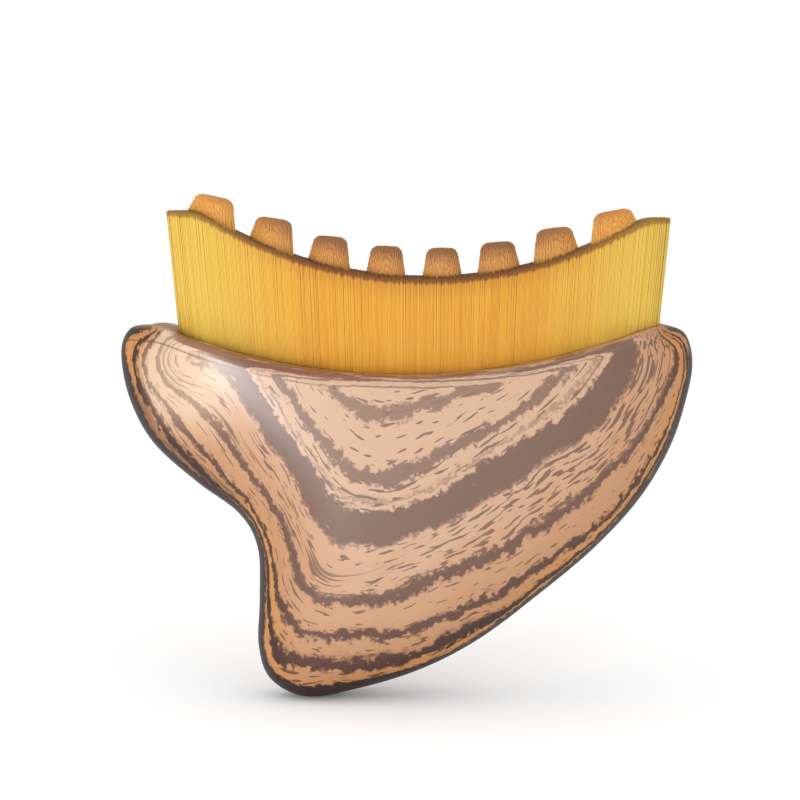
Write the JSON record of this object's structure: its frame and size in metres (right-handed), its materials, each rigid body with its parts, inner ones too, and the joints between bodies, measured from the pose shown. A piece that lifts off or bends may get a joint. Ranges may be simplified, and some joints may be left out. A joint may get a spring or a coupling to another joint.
{
  "type": "contour palm brush",
  "caption": "Palm brush with a carved fin-shaped striped wood handle and a dense amber fibre pad, trimmed hollow with raised crowns.",
  "frame": {"origin": "middle of the underside of the bounding box: on the middle plane of the thickness, level with the tip of the tail", "axes": "+X across the two horns, from the notched one to the other; +Y through the thickness, from the front face to the back face; +Z from the tail to the fibre tips"},
  "size_m": [0.1, 0.025, 0.0889],
  "materials": {
    "striped_wood": "clear gloss lacquer over dark and light layered grain",
    "amber_fibre": "straight satin fibre, trimmed flush",
    "crown_fibre": "straight satin fibre with brownish trimmed tips",
    "root_resin": "clear cured resin"
  },
  "bodies": {
    "root": {"handle": "striped_wood", "resin_bed": "root_resin", "front_bundle_1": "amber_fibre", "front_bundle_2": "amber_fibre", "front_bundle_3": "amber_fibre", "front_bundle_4": "amber_fibre", "front_bundle_5": "amber_fibre", "front_bundle_6": "amber_fibre", "front_bundle_7": "amber_fibre", "front_bundle_8": "amber_fibre", "crown_bundle_1": "crown_fibre", "crown_bundle_2": "crown_fibre", "crown_bundle_3": "crown_fibre", "crown_bundle_4": "crown_fibre", "crown_bundle_5": "crown_fibre", "crown_bundle_6": "crown_fibre", "crown_bundle_7": "crown_fibre", "crown_bundle_8": "crown_fibre", "rear_bundle_1": "amber_fibre", "rear_bundle_2": "amber_fibre", "rear_bundle_3": "amber_fibre", "rear_bundle_4": "amber_fibre", "rear_bundle_5": "amber_fibre", "rear_bundle_6": "amber_fibre", "rear_bundle_7": "amber_fibre", "rear_bundle_8": "amber_fibre"}
  },
  "joints": []
}
